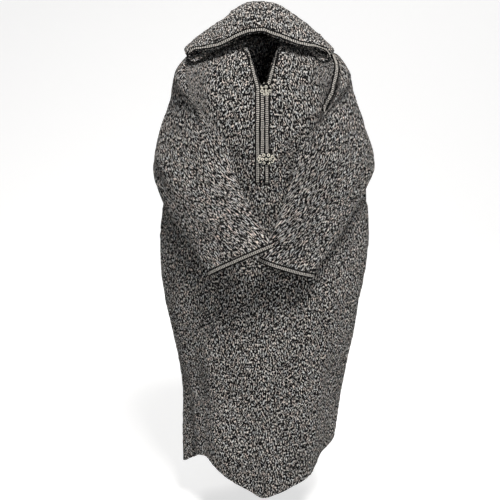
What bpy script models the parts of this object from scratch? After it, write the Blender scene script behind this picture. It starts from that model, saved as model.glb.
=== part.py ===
# Long hooded robe of hand-woven wool, hollow, in the form that it has when it is worn.
# Metres, +Z up, the front faces -Y. The origin lies midway between the two shoulder points.
# Left and right are the wearer's, so left is +X.
# Angles go round the body: 0 at the front, 90 at the wearer's left side, 180 at the back.
# A drop is a distance below the shoulder line.

import bpy
import bmesh
import numpy as np
from mathutils import Vector
from mathutils.bvhtree import BVHTree

# walls and trims
CLOTH = 0.0025
BRAID = 0.0018
BRAID_WIDTH = 0.016
CENTRE_STRIP_WIDTH = 0.011
AIR = 0.0007
SEAM_HALF_GAP = 0.00045

# the body's panels: where the side gores start and end, and how finely each is divided
GORE_FROM = 70.0
GORE_TO = 110.0
ROWS = 26
YOKE_HEIGHT = 0.10
YOKE_PATH = 0.15

# the body's rings in front of its sides. Columns: drop, half width on the wearer's right,
# half width on the left, y of the middle, y of the sides, and how sharply it rounds
FRONT = (
    (0.030, 0.235, 0.235, -0.104, -0.060, 1.20),
    (0.100, 0.232, 0.232, -0.121, -0.085, 1.20),
    (0.175, 0.220, 0.220, -0.133, -0.100, 1.20),
    (0.260, 0.190, 0.190, -0.141, -0.093, 1.30),
    (0.345, 0.252, 0.252, -0.143, 0.000, 1.80),
    (0.400, 0.290, 0.328, -0.143, 0.056, 2.00),
    (0.460, 0.315, 0.343, -0.144, 0.064, 1.95),
    (0.520, 0.327, 0.350, -0.146, 0.058, 1.65),
    (0.660, 0.333, 0.346, -0.156, 0.035, 1.25),
    (0.800, 0.316, 0.318, -0.167, 0.020, 1.10),
    (0.930, 0.288, 0.294, -0.178, 0.010, 1.00),
    (1.070, 0.262, 0.266, -0.190, 0.000, 1.00),
    (1.220, 0.256, 0.246, -0.202, 0.000, 1.00),
    (1.410, 0.252, 0.222, -0.212, 0.000, 1.00),
)

# the same behind its sides
BACK = (
    (0.030, 0.262, 0.262, 0.112, 0.030, 1.00),
    (0.100, 0.262, 0.262, 0.126, 0.070, 1.00),
    (0.175, 0.265, 0.265, 0.136, 0.086, 1.00),
    (0.260, 0.269, 0.269, 0.138, 0.076, 1.00),
    (0.345, 0.281, 0.286, 0.137, 0.064, 1.00),
    (0.400, 0.298, 0.322, 0.136, 0.060, 1.00),
    (0.460, 0.315, 0.343, 0.137, 0.062, 1.00),
    (0.520, 0.327, 0.350, 0.139, 0.058, 1.00),
    (0.660, 0.333, 0.346, 0.150, 0.035, 1.00),
    (0.800, 0.316, 0.318, 0.164, 0.020, 1.00),
    (0.930, 0.288, 0.294, 0.178, 0.010, 1.00),
    (1.070, 0.262, 0.266, 0.192, 0.000, 1.00),
    (1.220, 0.256, 0.246, 0.204, 0.000, 1.00),
    (1.410, 0.252, 0.222, 0.212, 0.000, 1.00),
)
# the back's values take over from the front's across this many degrees behind the side
SIDE_BLEND = 22.0

# the body's upper edge on the wearer's left, in the order in which it goes round.
# Columns: angle, x, y, z
SLIT_EDGE = (
    (0.0, 0.0000, -0.1180, -0.094),
    (2.5, 0.0085, -0.1160, -0.087),
    (5.5, 0.0230, -0.0975, -0.040),
    (10.0, 0.0520, -0.0650, 0.034),
)
NECK_FRONT_EDGE = (
    (10.0, 0.052, -0.0650, 0.034),
    (14.0, 0.070, -0.0330, 0.041),
    (18.0, 0.078, 0.0100, 0.046),
)
SHOULDER_FRONT_EDGE = (
    (18.0, 0.078, 0.0100, 0.046),
    (26.0, 0.152, 0.0140, 0.022),
    (34.0, 0.226, 0.0180, -0.002),
)
ARMHOLE_EDGE = (
    (34.0, 0.226, 0.0180, -0.002),
    (43.0, 0.240, -0.0450, -0.038),
    (52.0, 0.226, -0.0860, -0.104),
    (62.0, 0.202, -0.1110, -0.175),
    (74.0, 0.192, -0.0980, -0.265),
    (90.0, 0.252, 0.0300, -0.345),
    (106.0, 0.246, 0.0900, -0.262),
    (118.0, 0.242, 0.1080, -0.165),
    (128.0, 0.242, 0.0990, -0.098),
    (137.0, 0.239, 0.0660, -0.037),
    (146.0, 0.226, 0.0180, -0.002),
)
SHOULDER_BACK_EDGE = (
    (146.0, 0.226, 0.0180, -0.002),
    (154.0, 0.152, 0.0140, 0.022),
    (162.0, 0.078, 0.0100, 0.046),
)
NECK_BACK_EDGE = (
    (162.0, 0.078, 0.0100, 0.046),
    (168.0, 0.064, 0.0520, 0.049),
    (174.0, 0.036, 0.0780, 0.050),
    (180.0, 0.000, 0.0850, 0.050),
)
EDGES = (SLIT_EDGE, NECK_FRONT_EDGE, SHOULDER_FRONT_EDGE, ARMHOLE_EDGE, SHOULDER_BACK_EDGE, NECK_BACK_EDGE)

# how far the cloth rounds over from its upper edge: 1 on the shoulders, 0 along the slit and underarm
ROUNDING = ((0.0, 0.0), (9.0, 0.0), (18.0, 1.0), (34.0, 1.0), (52.0, 0.35), (64.0, 0.0), (90.0, 0.0),
            (116.0, 0.0), (130.0, 0.4), (146.0, 1.0), (164.0, 1.0), (180.0, 0.6))

# the hem, lowest at the front. Columns: angle, drop
HEM = (
    (-180.0, 1.330), (-130.0, 1.350), (-105.0, 1.368), (-90.0, 1.368), (-78.0, 1.340), (-62.0, 1.302),
    (-45.0, 1.291), (-30.0, 1.320), (-20.0, 1.349), (-10.0, 1.375), (0.0, 1.398), (10.0, 1.390),
    (20.0, 1.378), (30.0, 1.357), (45.0, 1.333), (60.0, 1.294), (75.0, 1.274), (90.0, 1.260),
    (120.0, 1.280), (150.0, 1.310), (180.0, 1.330),
)

# the large folds below the arms. Columns: angle, half width in degrees, height of the ridge
# (a trough is negative), drop where it begins, drop where it is full
FOLDS = (
    (38.0, 11.0, 0.010, 0.62, 0.85),
    (16.0, 10.0, -0.006, 0.66, 0.95),
    (-7.0, 11.0, -0.010, 0.60, 0.95),
    (-30.0, 12.0, 0.009, 0.70, 1.00),
    (-52.0, 9.0, -0.012, 0.80, 1.25),
    (-70.0, 7.0, -0.020, 0.95, 1.33),
    (-84.0, 8.0, 0.012, 0.95, 1.33),
    (60.0, 12.0, -0.009, 0.60, 1.20),
    (84.0, 10.0, 0.010, 0.60, 1.20),
    (112.0, 12.0, 0.015, 0.35, 1.25),
    (132.0, 10.0, -0.018, 0.35, 1.25),
    (152.0, 11.0, 0.015, 0.30, 1.25),
    (174.0, 10.0, -0.018, 0.30, 1.25),
    (-165.0, 10.0, 0.014, 0.30, 1.25),
    (-143.0, 11.0, -0.018, 0.35, 1.25),
    (-120.0, 11.0, 0.015, 0.40, 1.25),
    (-102.0, 8.0, -0.010, 0.60, 1.25),
)

# how far the sleeve's first section stands from the armhole's edge, on the wearer's left. Rows: on
# the outside of the arm, in front, next to the body and behind
SLEEVE_LEAVES = ((0.040, -0.006, -0.043), (-0.022, -0.030, -0.021), (0.016, -0.010, -0.004), (0.020, -0.004, -0.005))

# the sleeves' further sections, down to the cuff. Columns: the point on the outside of the
# arm, the point on the front edge, the point next to the body, and the point on the elbow's edge
SLEEVE_LEFT = (
    ((0.274, -0.008, -0.120), (0.152, -0.154, -0.224), (0.274, 0.000, -0.343), (0.274, 0.100, -0.235)),
    ((0.287, -0.042, -0.208), (0.116, -0.174, -0.268), (0.260, -0.032, -0.362), (0.307, 0.084, -0.300)),
    ((0.276, -0.095, -0.305), (0.092, -0.192, -0.340), (0.232, -0.064, -0.396), (0.340, 0.035, -0.367)),
    ((0.230, -0.148, -0.400), (0.070, -0.208, -0.410), (0.190, -0.108, -0.442), (0.312, -0.022, -0.432)),
    ((0.164, -0.198, -0.498), (0.036, -0.221, -0.502), (0.138, -0.150, -0.520), (0.262, -0.090, -0.516)),
    ((0.108, -0.229, -0.580), (0.006, -0.230, -0.560), (0.094, -0.178, -0.592), (0.196, -0.155, -0.602)),
    ((0.068, -0.249, -0.636), (-0.014, -0.237, -0.604), (0.064, -0.191, -0.640), (0.147, -0.192, -0.668)),
)
SLEEVE_RIGHT = (
    ((-0.270, -0.008, -0.120), (-0.148, -0.155, -0.216), (-0.274, 0.000, -0.344), (-0.270, 0.100, -0.240)),
    ((-0.280, -0.044, -0.212), (-0.105, -0.175, -0.258), (-0.258, -0.034, -0.368), (-0.298, 0.084, -0.315)),
    ((-0.266, -0.102, -0.318), (-0.084, -0.198, -0.336), (-0.230, -0.068, -0.406), (-0.325, 0.030, -0.390)),
    ((-0.226, -0.160, -0.402), (-0.068, -0.222, -0.385), (-0.192, -0.112, -0.448), (-0.302, -0.028, -0.462)),
    ((-0.170, -0.218, -0.474), (-0.038, -0.251, -0.438), (-0.152, -0.165, -0.502), (-0.248, -0.100, -0.535)),
    ((-0.116, -0.263, -0.532), (-0.002, -0.278, -0.496), (-0.102, -0.208, -0.545), (-0.203, -0.168, -0.588)),
    ((-0.068, -0.297, -0.594), (0.028, -0.296, -0.551), (-0.062, -0.241, -0.600), (-0.153, -0.226, -0.654)),
)
SLEEVE_ROWS = 16
SLEEVE_COLUMNS = 22

# the hood lying round the neck, one side of it, by share of the way from its rim to its back.
# Columns: share, then points on the neckline, the lower layer, the lower layer by the folded edge,
# the folded edge, the upper layer by it, the middle of the slope, the start of the crown, the crown
HOOD = (
    (0.00, (0.052, -0.067, 0.0395), (0.132, -0.082, 0.014), (0.188, -0.087, -0.020), (0.208, -0.074, -0.011),
     (0.193, -0.075, 0.010), (0.125, -0.094, 0.019), (0.045, -0.107, 0.053), (0.0, -0.111, 0.061)),
    (0.20, (0.070, -0.035, 0.045), (0.145, -0.044, 0.028), (0.202, -0.045, -0.002), (0.226, -0.034, 0.004),
     (0.209, -0.037, 0.023), (0.140, -0.059, 0.055), (0.052, -0.074, 0.105), (0.0, -0.078, 0.115)),
    (0.42, (0.078, 0.008, 0.050), (0.150, 0.012, 0.036), (0.208, 0.015, 0.014), (0.232, 0.020, 0.014),
     (0.215, 0.018, 0.032), (0.150, 0.005, 0.083), (0.060, -0.005, 0.146), (0.0, -0.005, 0.155)),
    (0.62, (0.067, 0.048, 0.053), (0.136, 0.064, 0.036), (0.200, 0.076, -0.004), (0.224, 0.082, -0.004),
     (0.212, 0.082, 0.018), (0.146, 0.072, 0.076), (0.057, 0.062, 0.137), (0.0, 0.062, 0.146)),
    (0.80, (0.045, 0.074, 0.054), (0.104, 0.112, 0.008), (0.158, 0.140, -0.058), (0.178, 0.154, -0.064),
     (0.168, 0.160, -0.040), (0.118, 0.142, 0.034), (0.045, 0.126, 0.101), (0.0, 0.126, 0.111)),
    (0.93, (0.020, 0.085, 0.054), (0.056, 0.132, -0.010), (0.088, 0.172, -0.118), (0.100, 0.194, -0.136),
     (0.096, 0.206, -0.110), (0.070, 0.190, -0.014), (0.026, 0.162, 0.064), (0.0, 0.158, 0.072)),
    (1.00, (0.000, 0.088, 0.054), (0.000, 0.140, -0.020), (0.000, 0.186, -0.150), (0.000, 0.214, -0.174),
     (0.000, 0.228, -0.144), (0.000, 0.207, -0.034), (0.000, 0.174, 0.046), (0.0, 0.168, 0.058)),
)
# the slope of the hood hangs lower over the wearer's left shoulder
HOOD_LEFT_SLOPE = (-0.012, 0.0, 0.004)
HOOD_LEFT_CROWN = (-0.010, 0.0, -0.005)
HOOD_LEAN = -0.012
HOOD_ROWS = (0.0, 0.07, 0.18, 0.30, 0.42, 0.53, 0.64, 0.74, 0.83, 0.90, 0.96, 1.0)
HOOD_STATIONS = (0.0, 0.5, 1.0, 1.5, 2.0, 2.5, 3.0, 3.5, 4.0, 4.5, 5.0, 5.5, 6.0, 6.5, 7.0)

# the front's trim
PLACKET_X = -0.0005
PLACKET_BRAID_OFF = 0.0140
PLACKET_TOP_DROP = 0.100
PLACKET_END_DROP = 0.385
STRIP_TOP_DROP = 0.098
STRIP_END_DROP = 0.325
SLIT_BRAID_OFF = 0.0090
ARMHOLE_BRAID_OFF = 0.0095

# the sleeve starts this far from the armhole's edge: beside it on the shoulder and behind, and on
# top of it in front and below, where the sleeve folds over the seam
SLEEVE_START = 0.0030
SLEEVE_FOLD_AT = 120.0
SLEEVE_FOLD_HALF = 75.0

# the two knotted fastenings. Columns: name, x, drop, width, height, thickness, lobes
KNOTS = (
    ("knot_top", 0.009, 0.103, 0.039, 0.044, 0.011, 8),
    ("knot_bottom", 0.010, 0.308, 0.056, 0.037, 0.011, 9),
)

COLOURS = {
    "cloth": (0.115, 0.110, 0.105, 1.0),
    "braid": (0.20, 0.19, 0.175, 1.0),
    "knot": (0.42, 0.40, 0.35, 1.0),
}


def smooth_table(table, at):
    """Every column of a table but the first, read smoothly where the first column is `at`."""
    table = np.asarray(table, float)
    at = np.asarray(at, float)
    place, values = table[:, 0], table[:, 1:]
    slopes = np.gradient(values, place, axis=0)
    k = np.clip(np.searchsorted(place, at, side="right") - 1, 0, len(place) - 2)
    step = (place[k + 1] - place[k])[..., None]
    t = np.clip((at[..., None] - place[k][..., None]) / step, 0, 1)
    from_start = values[k] * (2 * t**3 - 3 * t**2 + 1) + slopes[k] * step * (t**3 - 2 * t**2 + t)
    from_end = values[k + 1] * (3 * t**2 - 2 * t**3) + slopes[k + 1] * step * (t**3 - t**2)
    return from_start + from_end


def top_edge(angle):
    """The body's upper edge at these angles: slit, neckline, shoulder seam and armhole."""
    angle = np.asarray(angle, float)
    found = np.zeros(angle.shape + (3,))
    for edge in EDGES:
        inside = (np.abs(angle) >= edge[0][0] - 1e-9) & (np.abs(angle) <= edge[-1][0] + 1e-9)
        found[inside] = smooth_table(edge, np.abs(angle[inside]))
    found[..., 0] *= np.where(angle < 0, -1, 1)
    return found


def fold_height(angle, drop):
    """How far the folds stand out of the body's rings."""
    height = np.zeros(np.broadcast(angle, drop).shape)
    for middle, half_width, ridge, begins, full in FOLDS:
        away = (angle - middle + 180) % 360 - 180
        across = np.exp(-((away / half_width) ** 2))
        along = np.clip((drop - begins) / (full - begins), 0, 1)
        height += ridge * across * along**2 * (3 - 2 * along)
    return height


def ring(angle, drop):
    """The point of the body's cloth in plan at an angle and a drop, as x and y."""
    angle, drop = np.broadcast_arrays(np.asarray(angle, float), np.asarray(drop, float))
    behind = np.clip((np.abs(angle) - 90) / SIDE_BLEND, 0, 1)[..., None]
    behind = behind**2 * (3 - 2 * behind)
    front_rows, back_rows = smooth_table(FRONT, drop), smooth_table(BACK, drop)
    rows = front_rows * (1 - behind) + back_rows * behind
    rows[..., 2] = np.where(np.abs(angle) <= 90, front_rows[..., 2], back_rows[..., 2])
    rows[..., 4] = np.where(np.abs(angle) <= 90, front_rows[..., 4], back_rows[..., 4])
    half = np.where(angle < 0, rows[..., 0], rows[..., 1])
    across = np.sin(np.radians(angle))
    along = np.abs(np.cos(np.radians(angle))) ** rows[..., 4]
    x = half * across
    y = rows[..., 3] + (rows[..., 2] - rows[..., 3]) * along
    outwards = np.stack([x, y - rows[..., 3] * 0.5], axis=-1)
    outwards /= np.linalg.norm(outwards, axis=-1, keepdims=True) + 1e-9
    return np.stack([x, y], axis=-1) + outwards * fold_height(angle, drop)[..., None]


def body_surface(angle, row_shares):
    """The middle of the body's cloth: a column from the upper edge to the hem for each angle."""
    angle = np.asarray(angle, float)[None, :]
    share = np.asarray(row_shares, float)[:, None]
    start = top_edge(angle)
    hem = smooth_table(HEM, angle)[..., 0]
    rounding = np.interp(np.abs(angle), *np.transpose(ROUNDING))
    path = YOKE_HEIGHT + (YOKE_PATH - YOKE_HEIGHT) * rounding
    length = hem + start[..., 2]
    distance = share * length
    s = np.clip(distance / path, 0, 1)
    yoke_end = YOKE_HEIGHT - start[..., 2]
    below = yoke_end + (distance - path) * (hem - yoke_end) / (length - path)

    turn = s * np.pi / 2
    end_plan = ring(angle, yoke_end)
    round_plan = end_plan + (start[..., :2] - end_plan) * (1 - np.sin(turn))[..., None]
    round_drop = yoke_end - YOKE_HEIGHT * np.cos(turn)
    straight_drop = yoke_end - YOKE_HEIGHT * (1 - s)
    top_plan = ring(angle, np.maximum(-start[..., 2], FRONT[0][0]))
    held = (start[..., :2] - top_plan) * ((1 - s) ** 2)[..., None]
    straight_plan = ring(angle, np.maximum(straight_drop, FRONT[0][0])) + held

    blend = rounding[..., None]
    yoke_plan = straight_plan * (1 - blend) + round_plan * blend
    yoke_drop = straight_drop * (1 - rounding) + round_drop * rounding
    in_yoke = distance < path
    plan = np.where(in_yoke[..., None], yoke_plan, ring(angle, np.maximum(below, FRONT[0][0])))
    drop = np.where(in_yoke, yoke_drop, below)
    return np.concatenate([plan, -drop[..., None]], axis=-1)


def body_rows():
    """Shares of the way down, closer together at the top where the cloth rounds over."""
    shares = (np.arange(ROWS + 1) / ROWS) ** 1.4
    shares[0] = 0.0005
    return shares


def mesh_from_rows(points, closed=False):
    """Vertices and triangles of a grid of points. A closed grid joins its last column to its first."""
    rows, columns = points.shape[:2]
    faces = []
    for j in range(rows - 1):
        for i in range(columns if closed else columns - 1):
            right = (i + 1) % columns
            a, b, c, d = j * columns + i, (j + 1) * columns + i, (j + 1) * columns + right, j * columns + right
            falling = np.linalg.norm(points[j, i] - points[j + 1, right])
            rising = np.linalg.norm(points[j + 1, i] - points[j, right])
            faces += [(a, b, c), (a, c, d)] if falling < rising else [(a, b, d), (b, c, d)]
    return points.reshape(-1, 3), faces


def new_object(name, verts, faces, kind):
    mesh = bpy.data.meshes.new(name)
    mesh.from_pydata([tuple(v) for v in verts], [], faces)
    mesh.validate()
    obj = bpy.data.objects.new(name, mesh)
    garment.objects.link(obj)
    material = bpy.data.materials.new(name + "_" + kind)
    material.use_nodes = True
    shader = material.node_tree.nodes["Principled BSDF"]
    shader.inputs["Base Color"].default_value = COLOURS[kind]
    shader.inputs["Roughness"].default_value = 0.9
    mesh.materials.append(material)
    return obj


def walled(obj, thickness, weld=False):
    """Gives an open sheet its wall, half of it to each side."""
    if weld:
        join = obj.modifiers.new("join", "WELD")
        join.merge_threshold = 0.00005
    wall = obj.modifiers.new("wall", "SOLIDIFY")
    wall.thickness = thickness
    wall.offset = 0.0
    return obj


def facing_out(points, centre):
    """Reverses a grid's columns where its faces would look towards the centre."""
    rows, columns = points.shape[:2]
    a, b, c = points[rows // 2, columns // 2], points[rows // 2 + 1, columns // 2], points[rows // 2, columns // 2 + 1]
    normal = np.cross(b - a, c - a)
    return points[:, ::-1] if np.dot(normal, a - np.asarray(centre)) < 0 else points


def panel(name, angles):
    angles = np.asarray(angles, float)
    beyond = 2 * angles[[0, -1]] - angles[[1, -2]]
    wide = np.concatenate([beyond[:1], angles, beyond[1:]])
    wide = np.where(wide > 180, wide - 360, wide)
    grid = drawn_in(facing_out(body_surface(wide, body_rows()), (0, 0, -0.7)))
    return walled(new_object(name, *mesh_from_rows(grid), "cloth"), CLOTH), grid


def drawn_in(wide):
    """A panel without the columns beyond its seams, and with its edges drawn in by half the seam's
    gap, and by more where the cloth turns there, so that the two walls' corners stay clear."""
    down = np.gradient(wide, axis=0)
    grid = wide.copy()
    for beyond, edge, inner in ((0, 1, 2), (-1, -2, -3)):
        to_inner = wide[:, inner] - wide[:, edge]
        within = np.cross(down[:, edge], to_inner)
        past = np.cross(down[:, edge], wide[:, edge] - wide[:, beyond])
        within /= np.linalg.norm(within, axis=1, keepdims=True)
        past /= np.linalg.norm(past, axis=1, keepdims=True)
        turn = np.arccos(np.clip((within * past).sum(axis=1), -1, 1))
        clear = SEAM_HALF_GAP + CLOTH * np.tan(turn / 2)
        across = np.cross(within, down[:, edge])
        across /= np.linalg.norm(across, axis=1, keepdims=True)
        across *= np.sign((to_inner * across).sum(axis=1, keepdims=True))
        grid[:, edge] += across * clear[:, None]
    return grid[:, 1:-1]


def sleeve_surface(sections, side, body):
    """Rings of a sleeve, from the armhole to the cuff."""
    turn = np.linspace(0, 2 * np.pi, SLEEVE_COLUMNS, endpoint=False)
    degrees = np.degrees(turn)
    front, back = ARMHOLE_EDGE[0][0], ARMHOLE_EDGE[-1][0]
    edge = top_edge((front + (back - front) * degrees / 360) * side)
    rings = []
    for outside, front_edge, inside, elbow in np.asarray(sections, float):
        middle = (front_edge + elbow) / 2
        half = (front_edge - elbow) / 2
        bulge = np.where(np.cos(turn)[:, None] > 0, outside - middle, middle - inside)
        rings.append(middle + half * np.sin(turn)[:, None] + bulge * np.cos(turn)[:, None])
    off_body = np.array([on_cloth(body, point, 0)[1] for point in edge])
    fold = np.exp(-(((degrees - SLEEVE_FOLD_AT) / SLEEVE_FOLD_HALF) ** 2))
    away = np.array((side, 0.0, 0.0)) * (1 - fold)[:, None] + off_body * fold[:, None]
    away /= np.linalg.norm(away, axis=1, keepdims=True)
    start = edge + away * SLEEVE_START
    quarters = np.stack([np.cos(turn), np.sin(turn), -np.cos(turn), -np.sin(turn)], axis=1).clip(0) ** 2
    first = edge + quarters @ np.array(SLEEVE_LEAVES) * (side, 1, 1)
    rings = np.array([start, first] + rings)
    steps = np.linalg.norm(np.diff(rings, axis=0), axis=2).mean(axis=1)
    along = np.concatenate([[0.0], np.cumsum(steps)])
    table = np.concatenate([along[:, None], rings.reshape(len(rings), -1)], axis=1)
    between = np.linspace(along[1] * 0.9, along[-1] - BRAID_WIDTH, SLEEVE_ROWS - 2)
    at = np.concatenate([along[:1], between, along[-1:]])
    points = smooth_table(table, at).reshape(len(at), SLEEVE_COLUMNS, 3)
    points = settled(points, body, CLOTH + 0.5 * AIR, closed=True)
    return outwards(points)


def outward(grid):
    """An open grid on the wearer's left, turned so that its faces look away from the body."""
    return grid if grid_normals(grid)[..., 0].sum() > 0 else grid[:, ::-1]


def outwards(points):
    """A tube's rings, turned so that their faces look away from its middle."""
    normal = grid_normals(points, closed=True)
    from_middle = points - points.mean(axis=1, keepdims=True)
    return points if (normal * from_middle).sum() > 0 else points[:, ::-1]


def grid_normals(points, closed=False):
    """Unit normals at a grid's points."""
    if closed:
        wide = np.concatenate([points[:, -1:], points, points[:, :1]], axis=1)
        along = np.gradient(wide, axis=1)[:, 1:-1]
    else:
        along = np.gradient(points, axis=1)
    down = np.gradient(points, axis=0)
    normal = np.cross(down, along)
    return normal / (np.linalg.norm(normal, axis=-1, keepdims=True) + 1e-12)


def hood_row(share, side):
    """One row of the hood's cloth on one side: neckline, folded edge, slope and crown."""
    flat = [[row[0]] + [value for point in row[1:] for value in point] for row in HOOD]
    points = smooth_table(flat, share).reshape(8, 3)
    points[:, 0] *= side if share < 1.0 else 0.0
    lean = np.array((0.0, 0.3, 1.0, 1.0, 1.0, 0.6, 0.2, 0.0)) * HOOD_LEAN
    points[:, 0] += lean * (1 - share)
    if side > 0:
        points[5] += np.multiply(HOOD_LEFT_SLOPE, 1 - share)
        points[6] += np.multiply(HOOD_LEFT_CROWN, 1 - share)
    table = np.concatenate([np.arange(8.0)[:, None], points], axis=1)
    return smooth_table(table, HOOD_STATIONS)


def hood_surface():
    rows = []
    for share in HOOD_ROWS:
        right = hood_row(share, -1)
        left = hood_row(share, 1)
        rows.append(np.concatenate([right, left[-2::-1]]))
    return np.array(rows)[:, ::-1]


def surface_tree(grids):
    """A search tree over the middle of several cloth panels."""
    verts, faces = [], []
    for grid in grids:
        points, quads = mesh_from_rows(grid)
        faces += [tuple(index + len(verts) for index in quad) for quad in quads]
        verts += [Vector(point) for point in points]
    return BVHTree.FromPolygons(verts, faces)


def on_cloth(tree, point, lift):
    """The nearest place on the cloth, moved out by the lift."""
    place, normal, _, _ = tree.find_nearest(Vector(point))
    return np.array(place + normal * lift), np.array(normal)


# where a laid grid is tested between its points: steps down and across, and the share of the way
SPANS = tuple((down, right, share) for down, right in ((0, 1), (1, 0), (1, 1)) for share in (0.25, 0.5, 0.75))


def settled(grid, tree, lift, closed=False):
    """Raises a laid grid until its points and the stretches between them clear the cloth below."""
    rows, columns = grid.shape[:2]
    for _ in range(8):
        raised = np.zeros((rows, columns))
        for down, right, share in SPANS:
            for j in range(rows - down):
                for i in range(columns if closed else columns - right):
                    far = (i + right) % columns
                    between = grid[j, i] * (1 - share) + grid[j + down, far] * share
                    place, normal = on_cloth(tree, between, 0)
                    height = np.dot(between - place, normal)
                    beside = np.linalg.norm(between - place - normal * height)
                    if beside > lift or height < -0.02:
                        continue
                    short = min(lift - height, 0.004)
                    for at in ((j, i), (j + down, far)):
                        raised[at] = max(raised[at], short)
        moved = grid.copy()
        for j, i in np.argwhere(raised > 0):
            moved[j, i] += on_cloth(tree, grid[j, i], 0)[1] * raised[j, i]
        grid = moved
    return grid


def ribbon(name, tree, path, width, lift, thickness):
    """A braid along a path, laid on the cloth and following it across its width."""
    path = np.array(path)
    along = np.gradient(path, axis=0)
    along /= np.linalg.norm(along, axis=1, keepdims=True)
    rows = []
    for point, direction in zip(path, along):
        _, normal = on_cloth(tree, point, 0)
        across = np.cross(normal, direction)
        across /= np.linalg.norm(across)
        rows.append([on_cloth(tree, point + across * width * k, lift)[0] for k in (-0.5, 0.0, 0.5)])
    grid = settled(np.array(rows), tree, lift)
    walled(new_object(name, *mesh_from_rows(grid), "braid"), thickness)
    return grid


def knot(name, tree, x, drop, width, height, thickness, lobes, lift):
    """A domed knot with lobes round its edge, standing on the placket."""
    front = ring(0.0, drop)
    place, normal = on_cloth(tree, (x, front[1], -drop), lift)
    sideways = np.array((1.0, 0.0, 0.0))
    upwards = np.cross(sideways, normal) * -1
    upwards /= np.linalg.norm(upwards)
    turn = np.linspace(0, 2 * np.pi, lobes * 4, endpoint=False)
    edge = 1 + 0.10 * np.cos(turn * lobes)
    levels = ((1.00, 0.0), (1.04, 0.35), (0.82, 0.78), (0.42, 1.0))
    verts = []
    for reach, rise in levels:
        flat = np.cos(turn)[:, None] * sideways * width / 2 + np.sin(turn)[:, None] * upwards * height / 2
        verts += list(place + flat * (edge * reach)[:, None] + normal * thickness * rise)
    n = len(turn)
    faces = [tuple(range(n)), tuple(range(len(verts) - 1, len(verts) - 1 - n, -1))]
    for level in range(len(levels) - 1):
        for i in range(n):
            right = (i + 1) % n
            faces.append((level * n + i, (level + 1) * n + i, (level + 1) * n + right, level * n + right))
    obj = new_object(name, verts, faces, "knot")
    solid = bmesh.new()
    solid.from_mesh(obj.data)
    bmesh.ops.recalc_face_normals(solid, faces=solid.faces)
    solid.to_mesh(obj.data)
    solid.free()
    return obj


for old in list(bpy.data.objects):
    bpy.data.objects.remove(old, do_unlink=True)
for old in list(bpy.data.collections):
    bpy.data.collections.remove(old)

garment = bpy.data.collections.new("hooded_robe")
bpy.context.scene.collection.children.link(garment)

front_half = [0, 2.5, 5.5, 10, 14, 18, 23.3, 28.7, 34, 43, 52, 60, GORE_FROM - 4, GORE_FROM]
front_angles = [-a for a in front_half[:0:-1]] + front_half
back_half = [180, 174, 168, 162, 156.7, 151.3, 146, 137, 128, 119, GORE_TO]
back_angles = back_half[::-1] + [360 - a for a in back_half[1:]]
gore_angles = np.array([GORE_FROM, 74, 79, 85, 91, 98, GORE_TO - 5, GORE_TO])

front, front_grid = panel("front_panel", front_angles)
back, back_grid = panel("back_panel", back_angles)
gore_left, gore_left_grid = panel("gore_left", gore_angles)
gore_right, gore_right_grid = panel("gore_right", -gore_angles)

front_tree = surface_tree([front_grid])
body_tree = surface_tree([front_grid, back_grid, gore_left_grid, gore_right_grid])
braid_lift = CLOTH / 2 + BRAID / 2 + AIR

# the braid by the armhole lies on the front and the back, next to the seam, and ends at the gores
front_arc = np.linspace(GORE_FROM - 6.0, ARMHOLE_EDGE[0][0], 17)
back_arc = np.linspace(ARMHOLE_EDGE[-1][0], GORE_TO + 4.0, 17)[1:]
seam = top_edge(np.concatenate([front_arc, back_arc]))
path = []
for point, direction in zip(seam, np.gradient(seam, axis=0)):
    _, normal = on_cloth(body_tree, point, 0)
    across = np.cross(normal, direction)
    across *= ARMHOLE_BRAID_OFF / np.linalg.norm(across)
    sides = [point + across, point - across]
    path.append(min(sides, key=lambda p: np.linalg.norm(on_cloth(body_tree, p, 0)[0] - p)))
armhole_grid = ribbon("armhole_braid", body_tree, path, BRAID_WIDTH, braid_lift, BRAID)

under_sleeves = surface_tree([front_grid, back_grid, gore_left_grid, gore_right_grid, outward(armhole_grid)])
for side, sections, name in ((1, SLEEVE_LEFT, "left"), (-1, SLEEVE_RIGHT, "right")):
    grid = sleeve_surface(sections, side, under_sleeves)
    walled(new_object("sleeve_" + name, *mesh_from_rows(grid, closed=True), "cloth"), CLOTH)
    ends = grid[-2:] + grid_normals(grid, closed=True)[-2:] * braid_lift
    walled(new_object("cuff_braid_" + name, *mesh_from_rows(ends, closed=True), "braid"), BRAID)

hood_grid = hood_surface()
walled(new_object("hood", *mesh_from_rows(hood_grid), "cloth"), CLOTH, weld=True)
rim = hood_grid[:2] + grid_normals(hood_grid)[:2] * (braid_lift + 0.5 * AIR)
walled(new_object("hood_braid", *mesh_from_rows(rim), "braid"), BRAID)

# the braids of the front run down the slit's edges and on down the placket
placket_drops = np.arange(PLACKET_TOP_DROP, PLACKET_END_DROP, 0.0135)
for side, name in ((1, "left"), (-1, "right")):
    slit = top_edge(np.array([9.6, 8.5, 7.2, 5.8, 4.6, 3.5, 2.6]) * side)
    slit[:, 0] += SLIT_BRAID_OFF * side
    path = list(slit)
    for drop in placket_drops:
        path.append((PLACKET_X + PLACKET_BRAID_OFF * side, ring(0.0, drop)[1], -drop))
    ribbon("front_braid_" + name, front_tree, path, BRAID_WIDTH, braid_lift, BRAID)

strip = [(PLACKET_X, ring(0.0, drop)[1], -drop) for drop in np.arange(STRIP_TOP_DROP, STRIP_END_DROP, 0.0145)]
ribbon("placket_strip", front_tree, strip, CENTRE_STRIP_WIDTH, braid_lift, BRAID)

knot_lift = CLOTH / 2 + AIR + BRAID + 0.0012
for name, x, drop, width, height, thickness, lobes in KNOTS:
    knot(name, front_tree, x, drop, width, height, thickness, lobes, knot_lift)
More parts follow.
